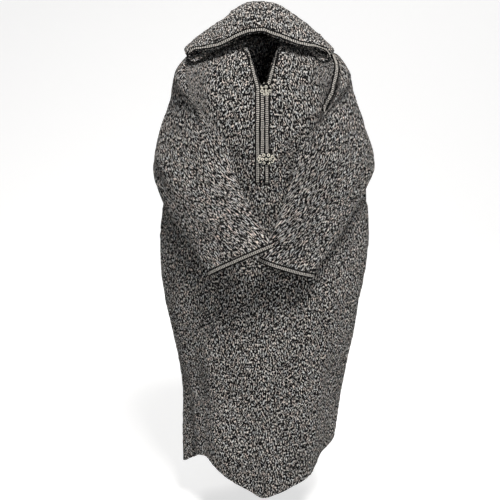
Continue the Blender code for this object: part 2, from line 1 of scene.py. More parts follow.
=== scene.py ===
# Long hooded robe of hand-woven wool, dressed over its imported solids
import bpy, math
import numpy as np
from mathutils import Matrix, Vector
from mathutils.bvhtree import BVHTree


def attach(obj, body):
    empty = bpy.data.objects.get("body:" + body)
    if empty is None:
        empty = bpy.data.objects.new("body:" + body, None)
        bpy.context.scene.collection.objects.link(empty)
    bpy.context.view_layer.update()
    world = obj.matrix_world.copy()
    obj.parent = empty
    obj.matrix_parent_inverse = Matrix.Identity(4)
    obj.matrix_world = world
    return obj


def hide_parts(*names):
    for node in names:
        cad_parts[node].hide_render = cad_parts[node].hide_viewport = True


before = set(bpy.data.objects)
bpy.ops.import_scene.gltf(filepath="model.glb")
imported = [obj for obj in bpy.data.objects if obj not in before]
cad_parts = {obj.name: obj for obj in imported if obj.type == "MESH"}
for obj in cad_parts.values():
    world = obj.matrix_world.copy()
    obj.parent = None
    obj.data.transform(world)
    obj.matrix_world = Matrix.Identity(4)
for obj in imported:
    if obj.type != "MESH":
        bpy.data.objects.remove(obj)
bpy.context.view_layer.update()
for o in bpy.context.selected_objects:
    o.select_set(False)
print("stage: frame loaded")

# rings in front of the sides: drop, half width right, half width left, y middle, y sides, rounding
frontRings = [
    (0.030, 0.235, 0.235, -0.104, -0.060, 1.20), (0.100, 0.232, 0.232, -0.121, -0.085, 1.20),
    (0.175, 0.220, 0.220, -0.133, -0.100, 1.20), (0.260, 0.190, 0.190, -0.141, -0.093, 1.30),
    (0.345, 0.252, 0.252, -0.143, 0.000, 1.80), (0.400, 0.290, 0.328, -0.143, 0.056, 2.00),
    (0.460, 0.315, 0.343, -0.144, 0.064, 1.95), (0.520, 0.327, 0.350, -0.146, 0.058, 1.65),
    (0.660, 0.333, 0.346, -0.156, 0.035, 1.25), (0.800, 0.316, 0.318, -0.167, 0.020, 1.10),
    (0.930, 0.288, 0.294, -0.178, 0.010, 1.00), (1.070, 0.262, 0.266, -0.190, 0.000, 1.00),
    (1.220, 0.256, 0.246, -0.202, 0.000, 1.00), (1.410, 0.252, 0.222, -0.212, 0.000, 1.00),
]
backRings = [
    (0.030, 0.262, 0.262, 0.112, 0.030, 1.0), (0.100, 0.262, 0.262, 0.126, 0.070, 1.0),
    (0.175, 0.265, 0.265, 0.136, 0.086, 1.0), (0.260, 0.269, 0.269, 0.138, 0.076, 1.0),
    (0.345, 0.281, 0.286, 0.137, 0.064, 1.0), (0.400, 0.298, 0.322, 0.136, 0.060, 1.0),
    (0.460, 0.315, 0.343, 0.137, 0.062, 1.0), (0.520, 0.327, 0.350, 0.139, 0.058, 1.0),
    (0.660, 0.333, 0.346, 0.150, 0.035, 1.0), (0.800, 0.316, 0.318, 0.164, 0.020, 1.0),
    (0.930, 0.288, 0.294, 0.178, 0.010, 1.0), (1.070, 0.262, 0.266, 0.192, 0.000, 1.0),
    (1.220, 0.256, 0.246, 0.204, 0.000, 1.0), (1.410, 0.252, 0.222, 0.212, 0.000, 1.0),
]
# upper edge on the left half: angle round from the front, x, y, z
slitEdge = [(0.0, 0.0, -0.118, -0.094), (2.5, 0.0085, -0.116, -0.087), (5.5, 0.023, -0.0975, -0.04),
            (10.0, 0.052, -0.065, 0.034)]
neckFrontEdge = [(10.0, 0.052, -0.065, 0.034), (14.0, 0.07, -0.033, 0.041), (18.0, 0.078, 0.01, 0.046)]
shoulderFrontEdge = [(18.0, 0.078, 0.01, 0.046), (26.0, 0.152, 0.014, 0.022), (34.0, 0.226, 0.018, -0.002)]
armholeEdge = [
    (34.0, 0.226, 0.018, -0.002), (43.0, 0.240, -0.045, -0.038), (52.0, 0.226, -0.086, -0.104),
    (62.0, 0.202, -0.111, -0.175), (74.0, 0.192, -0.098, -0.265), (90.0, 0.252, 0.030, -0.345),
    (106.0, 0.246, 0.090, -0.262), (118.0, 0.242, 0.108, -0.165), (128.0, 0.242, 0.099, -0.098),
    (137.0, 0.239, 0.066, -0.037), (146.0, 0.226, 0.018, -0.002),
]
shoulderBackEdge = [(146.0, 0.226, 0.018, -0.002), (154.0, 0.152, 0.014, 0.022),
                    (162.0, 0.078, 0.01, 0.046)]
neckBackEdge = [(162.0, 0.078, 0.01, 0.046), (168.0, 0.064, 0.052, 0.049), (174.0, 0.036, 0.078, 0.05),
                (180.0, 0.0, 0.085, 0.05)]
edges = [slitEdge, neckFrontEdge, shoulderFrontEdge, armholeEdge, shoulderBackEdge, neckBackEdge]
# how round each line goes over the shoulder: angle, share
rounding = [(0, 0), (9, 0), (18, 1), (34, 1), (52, 0.35), (64, 0), (90, 0), (116, 0), (130, 0.4), (146, 1),
            (164, 1), (180, 0.6)]
# angle, drop of the hem below the shoulder line
hemDrops = [
    (-180.0, 1.330), (-130.0, 1.350), (-105.0, 1.368), (-90.0, 1.368), (-78.0, 1.340), (-62.0, 1.302),
    (-45.0, 1.291), (-30.0, 1.320), (-20.0, 1.349), (-10.0, 1.375), (0.0, 1.398), (10.0, 1.390),
    (20.0, 1.378), (30.0, 1.357), (45.0, 1.333), (60.0, 1.294), (75.0, 1.274), (90.0, 1.260),
    (120.0, 1.280), (150.0, 1.310), (180.0, 1.330),
]
# long folds: angle, half width, ridge height, drop where it begins, drop where it is full
longFolds = [
    (38.0, 11.0, 0.010, 0.62, 0.85), (16.0, 10.0, -0.006, 0.66, 0.95), (-7.0, 11.0, -0.010, 0.60, 0.95),
    (-30.0, 12.0, 0.009, 0.70, 1.00), (-52.0, 9.0, -0.012, 0.80, 1.25), (-70.0, 7.0, -0.020, 0.95, 1.33),
    (-84.0, 8.0, 0.012, 0.95, 1.33), (60.0, 12.0, -0.009, 0.60, 1.20), (84.0, 10.0, 0.010, 0.60, 1.20),
    (112.0, 12.0, 0.015, 0.35, 1.25), (132.0, 10.0, -0.018, 0.35, 1.25), (152.0, 11.0, 0.015, 0.30, 1.25),
    (174.0, 10.0, -0.018, 0.30, 1.25), (-165.0, 10.0, 0.014, 0.30, 1.25),
    (-143.0, 11.0, -0.018, 0.35, 1.25), (-120.0, 11.0, 0.015, 0.40, 1.25),
    (-102.0, 8.0, -0.010, 0.60, 1.25),
]
form = {"yokeHeight": 0.10, "yokePath": 0.15, "sideBlend": 22.0, "goreFrom": 70.0, "goreTo": 110.0,
        "cloth": 0.0025, "seam": 0.0004, "nubs": 0.0009}

# the sleeves' sections: outside of the arm, front edge, next to the body, elbow's edge
leftSleeve = [
    ((0.274, -0.008, -0.120), (0.152, -0.154, -0.224), (0.274, 0.000, -0.343), (0.274, 0.100, -0.235)),
    ((0.287, -0.042, -0.208), (0.116, -0.174, -0.268), (0.260, -0.032, -0.362), (0.307, 0.084, -0.300)),
    ((0.276, -0.095, -0.305), (0.092, -0.192, -0.340), (0.232, -0.064, -0.396), (0.340, 0.035, -0.367)),
    ((0.230, -0.148, -0.400), (0.070, -0.208, -0.410), (0.190, -0.108, -0.442), (0.312, -0.022, -0.432)),
    ((0.164, -0.198, -0.498), (0.036, -0.221, -0.502), (0.138, -0.150, -0.520), (0.262, -0.090, -0.516)),
    ((0.108, -0.229, -0.580), (0.006, -0.230, -0.560), (0.094, -0.178, -0.592), (0.196, -0.155, -0.602)),
    ((0.068, -0.249, -0.636), (-0.014, -0.237, -0.604), (0.064, -0.191, -0.640), (0.147, -0.192, -0.668)),
]
rightSleeve = [
    ((-0.270, -0.008, -0.120), (-0.148, -0.155, -0.216), (-0.274, 0.000, -0.344), (-0.270, 0.100, -0.240)),
    ((-0.280, -0.044, -0.212), (-0.105, -0.175, -0.258), (-0.258, -0.034, -0.368), (-0.298, 0.084, -0.315)),
    ((-0.266, -0.102, -0.318), (-0.084, -0.198, -0.336), (-0.230, -0.068, -0.406), (-0.325, 0.030, -0.390)),
    ((-0.226, -0.160, -0.402), (-0.068, -0.222, -0.385), (-0.192, -0.112, -0.448), (-0.302, -0.028, -0.462)),
    ((-0.170, -0.218, -0.474), (-0.038, -0.251, -0.438), (-0.152, -0.165, -0.502), (-0.248, -0.100, -0.535)),
    ((-0.116, -0.263, -0.532), (-0.002, -0.278, -0.496), (-0.102, -0.208, -0.545), (-0.203, -0.168, -0.588)),
    ((-0.068, -0.297, -0.594), (0.028, -0.296, -0.551), (-0.062, -0.241, -0.600), (-0.153, -0.226, -0.654)),
]
# how far the first section stands from the armhole's edge, in the same order
sleeveLeaves = [(0.040, -0.006, -0.043), (-0.022, -0.030, -0.021), (0.016, -0.010, -0.004),
                (0.020, -0.004, -0.005)]

# one side of the hood: share of the way from rim to back, then neckline, lower layer,
# lower layer by the fold, folded edge, upper layer by it, middle of the slope, start of the crown, crown
hoodRows = [
    (0.00, (0.052, -0.067, 0.0395), (0.132, -0.066, 0.014), (0.188, -0.067, -0.020), (0.208, -0.066, -0.011),
     (0.193, -0.075, 0.010), (0.125, -0.094, 0.019), (0.045, -0.107, 0.053), (0.0, -0.111, 0.061)),
    (0.20, (0.070, -0.035, 0.045), (0.145, -0.044, 0.028), (0.202, -0.045, -0.002), (0.226, -0.034, 0.004),
     (0.209, -0.037, 0.023), (0.140, -0.059, 0.055), (0.052, -0.074, 0.105), (0.0, -0.078, 0.115)),
    (0.42, (0.078, 0.008, 0.050), (0.150, 0.012, 0.036), (0.208, 0.015, 0.014), (0.232, 0.020, 0.014),
     (0.215, 0.018, 0.032), (0.150, 0.005, 0.083), (0.060, -0.005, 0.146), (0.0, -0.005, 0.155)),
    (0.62, (0.067, 0.048, 0.053), (0.136, 0.064, 0.036), (0.200, 0.076, -0.004), (0.224, 0.082, -0.004),
     (0.212, 0.082, 0.018), (0.146, 0.072, 0.076), (0.057, 0.062, 0.137), (0.0, 0.062, 0.146)),
    (0.80, (0.045, 0.074, 0.054), (0.104, 0.112, 0.008), (0.158, 0.140, -0.058), (0.178, 0.154, -0.064),
     (0.168, 0.160, -0.040), (0.118, 0.142, 0.034), (0.045, 0.126, 0.101), (0.0, 0.126, 0.111)),
    (0.93, (0.020, 0.085, 0.054), (0.056, 0.132, -0.010), (0.088, 0.172, -0.118), (0.100, 0.194, -0.136),
     (0.096, 0.206, -0.110), (0.070, 0.190, -0.014), (0.026, 0.162, 0.064), (0.0, 0.158, 0.072)),
    (1.00, (0.000, 0.088, 0.054), (0.000, 0.140, -0.020), (0.000, 0.186, -0.150), (0.000, 0.214, -0.174),
     (0.000, 0.228, -0.144), (0.000, 0.207, -0.034), (0.000, 0.174, 0.046), (0.0, 0.168, 0.058)),
]
hoodLean = [0.0, -0.0036, -0.012, -0.012, -0.012, -0.0072, -0.0024, 0.0]  # sideways, at the rim
# the left half's slope and crown, moved at the rim
hoodLeftShift = {5: (-0.012, 0.0, 0.004), 6: (-0.010, 0.0, -0.005)}


# finishes
def newMaterial(name, colour, rough):
    material = bpy.data.materials.new(name)
    material.use_nodes = True
    shader = material.node_tree.nodes["Principled BSDF"]
    shader.inputs["Base Color"].default_value = (*colour, 1)
    shader.inputs["Roughness"].default_value = rough
    return material


def addNode(tree, kind, **values):
    node = tree.nodes.new(kind)
    for key, value in values.items():
        if hasattr(node, key):
            setattr(node, key, value)
        else:
            node.inputs[key].default_value = value
    return node


def mathNode(tree, operation, a, b, clamp=False):
    node = tree.nodes.new("ShaderNodeMath")
    node.operation, node.use_clamp = operation, clamp
    for socket, value in zip(node.inputs, (a, b)):
        if isinstance(value, (int, float)):
            socket.default_value = value
        else:
            tree.links.new(value, socket)
    return node.outputs[0]


def tintNode(tree, factor, a, b):  # a times b, as far as the factor says
    node = tree.nodes.new("ShaderNodeMix")
    node.data_type, node.blend_type = "RGBA", "MULTIPLY"
    for socket, value in ((node.inputs["Factor"], factor), (node.inputs[6], a), (node.inputs[7], b)):
        if isinstance(value, (int, float, tuple)):
            socket.default_value = value
        else:
            tree.links.new(value, socket)
    return node.outputs[2]


# noise whose lumps are so many metres across and along the grain, read at another spot for each shift
def noiseAt(tree, vector, size, shift, detail, rough):
    place = addNode(tree, "ShaderNodeMapping", Location=(shift, shift * 0.37, 0),
                    Scale=(1 / size[0], 1 / size[1], 1))
    noise = addNode(tree, "ShaderNodeTexNoise", noise_dimensions="2D", Scale=1.0, Detail=detail,
                    Roughness=rough)
    tree.links.new(vector, place.inputs["Vector"])
    tree.links.new(place.outputs[0], noise.inputs["Vector"])
    return noise


wool = {
    # flecks, slubs and tufts: size, shift, roughness, share of the whole
    "yarns": [((0.0033, 0.0072), 0.0, 0.55, 0.56), ((0.0043, 0.0150), 41.0, 0.6, 0.24),
              ((0.0026, 0.0044), 87.0, 0.5, 0.20)],
    "wave": (0.018, 0.030), "waver": 0.0022,
    # where each colour of yarn begins
    "colours": [(0.509, (0.002, 0.002, 0.0025, 1)), (0.526, (0.022, 0.021, 0.020, 1)),
                (0.543, (0.17, 0.162, 0.153, 1)), (0.566, (0.95, 0.905, 0.85, 1))],
    "tint": (0.012, 0.020), "tinting": 9.0,
    "warmFrom": 0.54, "warm": (1.06, 0.97, 0.94, 1), "coolFrom": 0.50, "cool": (0.93, 0.985, 1.045, 1),
    "patch": (0.09, 0.22), "patchDepth": 0.7, "patchLow": 0.65,
    "rough": 0.92, "sheen": 0.05, "sheenRough": 0.6, "gloss": 0.12, "bump": 0.014,
}


def makeWoolGroup():  # black, grey and cream hand-spun yarn: short flecks along the warp
    group = bpy.data.node_groups.new("flecked wool", "ShaderNodeTree")
    group.interface.new_socket("Grain", in_out="INPUT", socket_type="NodeSocketVector")
    group.interface.new_socket("Tone", in_out="INPUT", socket_type="NodeSocketFloat")
    group.interface.new_socket("Color", in_out="OUTPUT", socket_type="NodeSocketColor")
    group.interface.new_socket("Height", in_out="OUTPUT", socket_type="NodeSocketFloat")
    entry, leave = group.nodes.new("NodeGroupInput"), group.nodes.new("NodeGroupOutput")
    grain = entry.outputs["Grain"]
    wave = noiseAt(group, grain, wool["wave"], 3.0, 1.0, 0.5)
    shift = addNode(group, "ShaderNodeVectorMath", operation="SUBTRACT")
    shift.inputs[1].default_value = (0.5, 0.5, 0.5)
    group.links.new(wave.outputs["Color"], shift.inputs[0])
    amount = addNode(group, "ShaderNodeVectorMath", operation="SCALE")
    amount.inputs["Scale"].default_value = wool["waver"] * 2
    group.links.new(shift.outputs[0], amount.inputs[0])
    moved = addNode(group, "ShaderNodeVectorMath", operation="ADD")
    group.links.new(grain, moved.inputs[0])
    group.links.new(amount.outputs[0], moved.inputs[1])
    yarn = moved.outputs[0]
    fleck, slub, tuft = [
        mathNode(group, "MULTIPLY", noiseAt(group, yarn, size, away, 1.0, rough).outputs["Fac"], share)
        for size, away, rough, share in wool["yarns"]]
    mixed = mathNode(group, "ADD", fleck, mathNode(group, "ADD", slub, tuft))
    ramp = addNode(group, "ShaderNodeValToRGB")
    group.links.new(mixed, ramp.inputs["Fac"])
    stops, elements = wool["colours"], ramp.color_ramp.elements
    elements[0].position, elements[0].color = stops[0]
    elements[1].position, elements[1].color = stops[-1]
    for place, colour in stops[1:-1]:
        elements.new(place).color = colour
    tint = noiseAt(group, grain, wool["tint"], 12.0, 2.0, 0.6).outputs["Fac"]
    warm = mathNode(group, "SUBTRACT", tint, wool["warmFrom"])
    warm = mathNode(group, "MULTIPLY", warm, wool["tinting"], clamp=True)
    cool = mathNode(group, "SUBTRACT", wool["coolFrom"], tint)
    cool = mathNode(group, "MULTIPLY", cool, wool["tinting"], clamp=True)
    colour = tintNode(group, warm, ramp.outputs["Color"], wool["warm"])
    colour = tintNode(group, cool, colour, wool["cool"])
    patch = noiseAt(group, grain, wool["patch"], 5.0, 3.0, 0.6).outputs["Fac"]
    patch = mathNode(group, "MULTIPLY", patch, wool["patchDepth"])
    patch = mathNode(group, "ADD", patch, wool["patchLow"])
    shade = mathNode(group, "MULTIPLY", patch, entry.outputs["Tone"])
    spread = addNode(group, "ShaderNodeCombineColor")
    for k in range(3):
        group.links.new(shade, spread.inputs[k])
    colour = tintNode(group, 1.0, colour, spread.outputs[0])
    group.links.new(colour, leave.inputs["Color"])
    group.links.new(mixed, leave.inputs["Height"])
    return group


woolGroup = makeWoolGroup()


def woolMaterial(name, tone):
    material = newMaterial(name, (0.1, 0.1, 0.1), wool["rough"])
    tree = material.node_tree
    shader = tree.nodes["Principled BSDF"]
    shader.inputs["Sheen Weight"].default_value = wool["sheen"]
    shader.inputs["Sheen Roughness"].default_value = wool["sheenRough"]
    shader.inputs["Specular IOR Level"].default_value = wool["gloss"]
    use = tree.nodes.new("ShaderNodeGroup")
    use.node_tree = woolGroup
    use.inputs["Tone"].default_value = tone
    place = addNode(tree, "ShaderNodeUVMap", uv_map="grain")
    bump = addNode(tree, "ShaderNodeBump", Strength=1.0, Distance=wool["bump"])
    tree.links.new(place.outputs["UV"], use.inputs["Grain"])
    tree.links.new(use.outputs["Color"], shader.inputs["Base Color"])
    tree.links.new(use.outputs["Height"], bump.inputs["Height"])
    tree.links.new(bump.outputs["Normal"], shader.inputs["Normal"])
    return material


def threadMaterial(name, dark, light, rough, size, depth):  # thread with uneven strands of that size
    material = newMaterial(name, light, rough)
    tree = material.node_tree
    shader = tree.nodes["Principled BSDF"]
    shader.inputs["Specular IOR Level"].default_value = 0.15
    place = addNode(tree, "ShaderNodeTexCoord")
    strands = addNode(tree, "ShaderNodeTexNoise", Scale=1 / size, Detail=2.0, Roughness=0.6)
    ramp = addNode(tree, "ShaderNodeValToRGB")
    for element, stop in zip(ramp.color_ramp.elements, ((0.35, dark), (0.62, light))):
        element.position, element.color = stop[0], (*stop[1], 1)
    bump = addNode(tree, "ShaderNodeBump", Strength=0.6, Distance=depth)
    tree.links.new(place.outputs["Object"], strands.inputs["Vector"])
    tree.links.new(strands.outputs["Fac"], ramp.inputs["Fac"])
    tree.links.new(ramp.outputs["Color"], shader.inputs["Base Color"])
    tree.links.new(strands.outputs["Fac"], bump.inputs["Height"])
    tree.links.new(bump.outputs["Normal"], shader.inputs["Normal"])
    return material


looks = {
    "cloth": woolMaterial("flecked wool cloth", 1.0),
    "cord": threadMaterial("black cord", (0.002, 0.002, 0.002), (0.010, 0.010, 0.010), 0.8, 0.0012, 0.001),
    "band": threadMaterial("grey braid", (0.045, 0.043, 0.04), (0.13, 0.125, 0.117), 0.85, 0.0016, 0.001),
    "curl": threadMaterial("cream cord", (0.72, 0.68, 0.57), (0.97, 0.94, 0.84), 0.8, 0.0015, 0.0008),
    "stitch": threadMaterial("cream thread", (0.50, 0.47, 0.43), (0.90, 0.86, 0.80), 0.75, 0.0012, 0.0008),
}
print("stage: finishes")


def readTable(table, at):  # every column but the first, read smoothly at the first column's value
    table, at = np.asarray(table, float), np.asarray(at, float)
    place, values = table[:, 0], table[:, 1:]
    slopes = np.gradient(values, place, axis=0)
    k = np.clip(np.searchsorted(place, at, side="right") - 1, 0, len(place) - 2)
    step = (place[k + 1] - place[k])[..., None]
    t = np.clip((at[..., None] - place[k][..., None]) / step, 0, 1)
    return (values[k] * (2 * t**3 - 3 * t**2 + 1) + slopes[k] * step * (t**3 - 2 * t**2 + t)
            + values[k + 1] * (3 * t**2 - 2 * t**3) + slopes[k + 1] * step * (t**3 - t**2))


def unit(v):
    return v / (np.linalg.norm(v, axis=-1, keepdims=True) + 1e-12)


def upperEdge(angle):  # slit, neckline, shoulder seam and armhole
    angle = np.asarray(angle, float)
    found = np.zeros(angle.shape + (3,))
    for edge in edges:
        inside = (np.abs(angle) >= edge[0][0] - 1e-9) & (np.abs(angle) <= edge[-1][0] + 1e-9)
        found[inside] = readTable(edge, np.abs(angle[inside]))
    found[..., 0] *= np.where(angle < 0, -1, 1)
    return found


def ring(angle, drop):  # the body in plan, as x and y
    angle, drop = np.broadcast_arrays(np.asarray(angle, float), np.asarray(drop, float))
    behind = np.clip((np.abs(angle) - 90) / form["sideBlend"], 0, 1)[..., None]
    behind = behind**2 * (3 - 2 * behind)
    atFront, atBack = readTable(frontRings, drop), readTable(backRings, drop)
    rows = atFront * (1 - behind) + atBack * behind
    for c in (2, 4):
        rows[..., c] = np.where(np.abs(angle) <= 90, atFront[..., c], atBack[..., c])
    x = np.where(angle < 0, rows[..., 0], rows[..., 1]) * np.sin(np.radians(angle))
    y = rows[..., 3] + (rows[..., 2] - rows[..., 3]) * np.abs(np.cos(np.radians(angle))) ** rows[..., 4]
    out = np.zeros(x.shape)
    for middle, half, ridge, begins, full in longFolds:
        away = (angle - middle + 180) % 360 - 180
        t = np.clip((drop - begins) / (full - begins), 0, 1)
        out = out + ridge * np.exp(-((away / half) ** 2)) * t**2 * (3 - 2 * t)
    return np.stack([x, y], axis=-1) + unit(np.stack([x, y - rows[..., 3] * 0.5], axis=-1)) * out[..., None]


def bodySurface(angle, shares):  # middle of the cloth, from the upper edge to the hem
    angle, share = np.asarray(angle, float)[None, :], np.asarray(shares, float)[:, None]
    start = upperEdge(angle)
    hem = readTable(hemDrops, angle)[..., 0]
    over = np.interp(np.abs(angle), *np.transpose(rounding))
    path = form["yokeHeight"] + (form["yokePath"] - form["yokeHeight"]) * over
    length = hem + start[..., 2]
    distance = share * length
    s = np.clip(distance / path, 0, 1)
    yokeEnd = form["yokeHeight"] - start[..., 2]
    below = yokeEnd + (distance - path) * (hem - yokeEnd) / (length - path)
    turn = s * np.pi / 2
    endPlan = ring(angle, yokeEnd)
    roundPlan = endPlan + (start[..., :2] - endPlan) * (1 - np.sin(turn))[..., None]
    roundDrop = yokeEnd - form["yokeHeight"] * np.cos(turn)
    straightDrop = yokeEnd - form["yokeHeight"] * (1 - s)
    top = frontRings[0][0]
    held = (start[..., :2] - ring(angle, np.maximum(-start[..., 2], top))) * ((1 - s) ** 2)[..., None]
    straightPlan = ring(angle, np.maximum(straightDrop, top)) + held
    blend = over[..., None]
    plan = np.where((distance < path)[..., None], straightPlan * (1 - blend) + roundPlan * blend,
                    ring(angle, np.maximum(below, top)))
    drop = np.where(distance < path, straightDrop * (1 - over) + roundDrop * over, below)
    return np.concatenate([plan, -drop[..., None]], axis=-1)


def gridNormals(grid, closed=False):
    if closed:
        wide = np.concatenate([grid[:, -1:], grid, grid[:, :1]], axis=1)
        along = np.gradient(wide, axis=1)[:, 1:-1]
    else:
        along = np.gradient(grid, axis=1)
    return unit(np.cross(np.gradient(grid, axis=0), along))


def treeOf(grids):  # search tree over the middle of some panels
    verts, faces = [], []
    for grid, closed in grids:
        rows, cols = grid.shape[:2]
        start = len(verts)
        verts += [Vector(p) for p in grid.reshape(-1, 3)]
        faces += [tuple(start + i for i in quad) for quad in quadsOf(rows, cols, closed)]
    return BVHTree.FromPolygons(verts, faces)


def quadsOf(rows, cols, closed):
    j, i = np.meshgrid(np.arange(rows - 1), np.arange(cols if closed else cols - 1), indexing="ij")
    nextCol = (i + 1) % cols
    corners = [j * cols + i, (j + 1) * cols + i, (j + 1) * cols + nextCol, j * cols + nextCol]
    return np.stack(corners, axis=-1).reshape(-1, 4).tolist()


def onCloth(tree, point, lift):
    place, normal, _, _ = tree.find_nearest(Vector(point))
    return np.array(place + normal * lift), np.array(normal)


def settle(grid, tree, lift):  # raises a laid grid until it clears the cloth below
    for _ in range(3):
        low = 0
        for j, i in np.ndindex(*grid.shape[:2]):
            place, normal, _, _ = tree.find_nearest(Vector(grid[j, i]), 0.03)
            if place is None:
                continue
            off = grid[j, i] - np.array(place)
            height = float(off @ np.array(normal))
            beside = np.linalg.norm(off - np.array(normal) * height)
            if height < lift and beside <= lift and height > -0.02:
                grid[j, i] += np.array(normal) * (lift - height)
                low += 1
        if not low:
            break
    return grid


def soften(grid, rounds):  # evens a tube's grid without moving its ends
    for _ in range(rounds):
        left, right = np.roll(grid, 1, axis=1), np.roll(grid, -1, axis=1)
        middle = (grid[:-2] + grid[2:] + left[1:-1] + right[1:-1]) / 4
        grid = grid.copy()
        grid[1:-1] = grid[1:-1] * 0.5 + middle * 0.5
    return grid


def pressFolds(grid, paths, closed=False):  # soft uneven troughs and ridges along lines on the cloth
    normal = gridNormals(grid, closed)
    flat = grid.reshape(-1, 3)
    height = np.zeros(len(flat))
    for path, half, ridge, seed in paths:
        t = np.linspace(0, 1, 36)
        line = readTable(np.concatenate([np.linspace(0, 1, len(path))[:, None], path], axis=1), t)
        far = np.linalg.norm(flat[:, None, :] - line[None], axis=2)
        near = far.argmin(axis=1)
        at = t[near]
        uneven = 1 + 0.25 * np.sin(at * 9 + seed) + 0.15 * np.sin(at * 23 + seed * 2.3)
        width = half * (0.75 + 0.5 * np.sin(np.pi * np.clip(at, 0.02, 0.98)))
        falloff = np.exp(-((far[np.arange(len(flat)), near] / width) ** 2))
        height += ridge * np.sin(np.pi * at) ** 0.8 * uneven * falloff
    return grid + normal * height.reshape(grid.shape[:2])[..., None]


def clothUv(grid, closed=False, upright=False):  # metres across and along the grain
    wide = np.concatenate([grid, grid[:, :1]], axis=1) if closed else grid
    step = np.diff(wide, axis=1)
    across = np.linalg.norm(step[..., :2] if upright else step, axis=2)
    u = np.concatenate([np.zeros((len(grid), 1)), np.cumsum(across, axis=1)], axis=1)
    u -= u[:, u.shape[1] // 2][:, None]
    down = np.linalg.norm(np.diff(wide, axis=0), axis=2)
    start = np.zeros((1, wide.shape[1]))
    if upright:  # measured up from the hem
        v = wide[-1:, :, 2] + np.concatenate([np.cumsum(down[::-1], axis=0)[::-1], start])
        return np.stack([u, v], axis=-1)
    if closed:  # half way between each line's own length and the mean one
        down = down.mean(axis=1, keepdims=True) * 0.5 + down * 0.5
    else:
        middle = down.shape[1] // 2
        down = down[:, middle - middle // 3:middle + middle // 3 + 1].mean(axis=1, keepdims=True) + start
    return np.stack([u, -np.concatenate([start, np.cumsum(down, axis=0)])], axis=-1)


def lumps(uv, cell, seed):  # smooth random heights over the cloth, in cells of so many metres
    table = np.random.default_rng(seed).normal(size=(512, 512))
    at = uv / np.array(cell)
    low = np.floor(at).astype(int)
    t = (at - low) ** 2 * (3 - 2 * (at - low))
    a, b = low[..., 0] % 512, low[..., 1] % 512
    c, d = (a + 1) % 512, (b + 1) % 512
    near = table[a, b] * (1 - t[..., 0]) + table[c, b] * t[..., 0]
    far = table[a, d] * (1 - t[..., 0]) + table[c, d] * t[..., 0]
    return near * (1 - t[..., 1]) + far * t[..., 1]


nub = {"cell": (0.0085, 0.0140), "swell": (0.060, 0.110), "swellHeight": 1.6, "atEdge": 0.25, "most": 3}


def nubs(grid, uv, seed, size, closed=False):  # slubs of the hand-spun yarn, longer along the warp
    uv = uv[:, :grid.shape[1]]
    bump = lumps(uv, nub["cell"], seed) * size
    bump = bump + lumps(uv, nub["swell"], seed + 100) * size * nub["swellHeight"]
    if not closed:
        fade = np.ones(grid.shape[1])
        fade[:2] = fade[-2:] = nub["atEdge"]
        bump = bump * fade
    bump = np.clip(bump, -nub["most"] * size, nub["most"] * size)
    return grid + gridNormals(grid, closed) * bump[..., None]


def meshFromGrid(name, grid, uv, closed=False):
    rows, cols = grid.shape[:2]
    mesh = bpy.data.meshes.new(name)
    quads = quadsOf(rows, cols, closed)
    mesh.from_pydata(grid.reshape(-1, 3).tolist(), [], quads)
    j, i = np.meshgrid(np.arange(rows - 1), np.arange(cols if closed else cols - 1), indexing="ij")
    corners = np.stack([uv[j, i], uv[j + 1, i], uv[j + 1, i + 1], uv[j, i + 1]], axis=2)
    mesh.uv_layers.new(name="grain").data.foreach_set("uv", corners.reshape(-1))
    obj = bpy.data.objects.new(name, mesh)
    bpy.context.scene.collection.objects.link(obj)
    return obj


def pick(obj):
    for o in bpy.context.selected_objects:
        o.select_set(False)
    obj.select_set(True)
    bpy.context.view_layer.objects.active = obj


def wallOf(obj, weld=False):  # gives a sheet the cloth's thickness
    pick(obj)
    if weld:
        join = obj.modifiers.new("join", "WELD")
        join.merge_threshold = 0.00005
        bpy.ops.object.modifier_apply(modifier=join.name)
    wall = obj.modifiers.new("wall", "SOLIDIFY")
    wall.thickness, wall.offset = form["cloth"], 0.0
    bpy.ops.object.modifier_apply(modifier=wall.name)
    bpy.ops.object.shade_smooth_by_angle(angle=math.radians(65))
    obj.select_set(False)
    return obj


def facingOut(grid, closed=False):
    normal = gridNormals(grid, closed)
    outwards = grid - grid.mean(axis=1, keepdims=True) if closed else grid - np.array([0, 0, -0.7])
    return grid if (normal * outwards).sum() > 0 else grid[:, ::-1]


def bodyPoint(angle, drop):
    plan = ring(angle, drop)
    return np.array([plan[0], plan[1], -drop])


# the body's smaller folds: a line of angles and drops, half width, height of the ridge
bodyFolds = [
    ([(-42, 0.30), (-30, 0.42), (-24, 0.50)], 0.016, -0.006),
    ([(40, 0.30), (30, 0.40), (22, 0.48)], 0.016, -0.006),
    ([(2, 0.64), (6, 0.90), (9, 1.30)], 0.012, -0.004),
    ([(27, 0.64), (28, 0.90), (27, 1.22)], 0.013, 0.009),
    ([(35, 0.66), (36, 0.95), (34, 1.15)], 0.012, -0.004),
    ([(-36, 0.70), (-34, 1.00), (-35, 1.28)], 0.016, 0.005),
    ([(-16, 0.66), (-20, 0.92), (-22, 1.20)], 0.015, -0.005),
    ([(150, 0.12), (163, 0.24), (176, 0.30)], 0.022, -0.005),
    ([(-150, 0.12), (-163, 0.24), (-176, 0.31)], 0.022, -0.005),
]
bodyPaths = [(np.array([bodyPoint(a, d) for a, d in line]), half, ridge, k)
             for k, (line, half, ridge) in enumerate(bodyFolds)]


def panelGrid(angles, rows, seed):
    grid = bodySurface(np.where(angles > 180, angles - 360, angles), np.linspace(0.0005, 1, rows))
    grid = facingOut(grid)
    for edge, inner in ((0, 1), (-1, -2)):  # a hair's gap at the seam
        grid[:, edge] += unit(grid[:, inner] - grid[:, edge]) * form["seam"]
    grid = pressFolds(grid, bodyPaths)
    uv = clothUv(grid, upright=True)
    return nubs(grid, uv, seed, form["nubs"]), uv


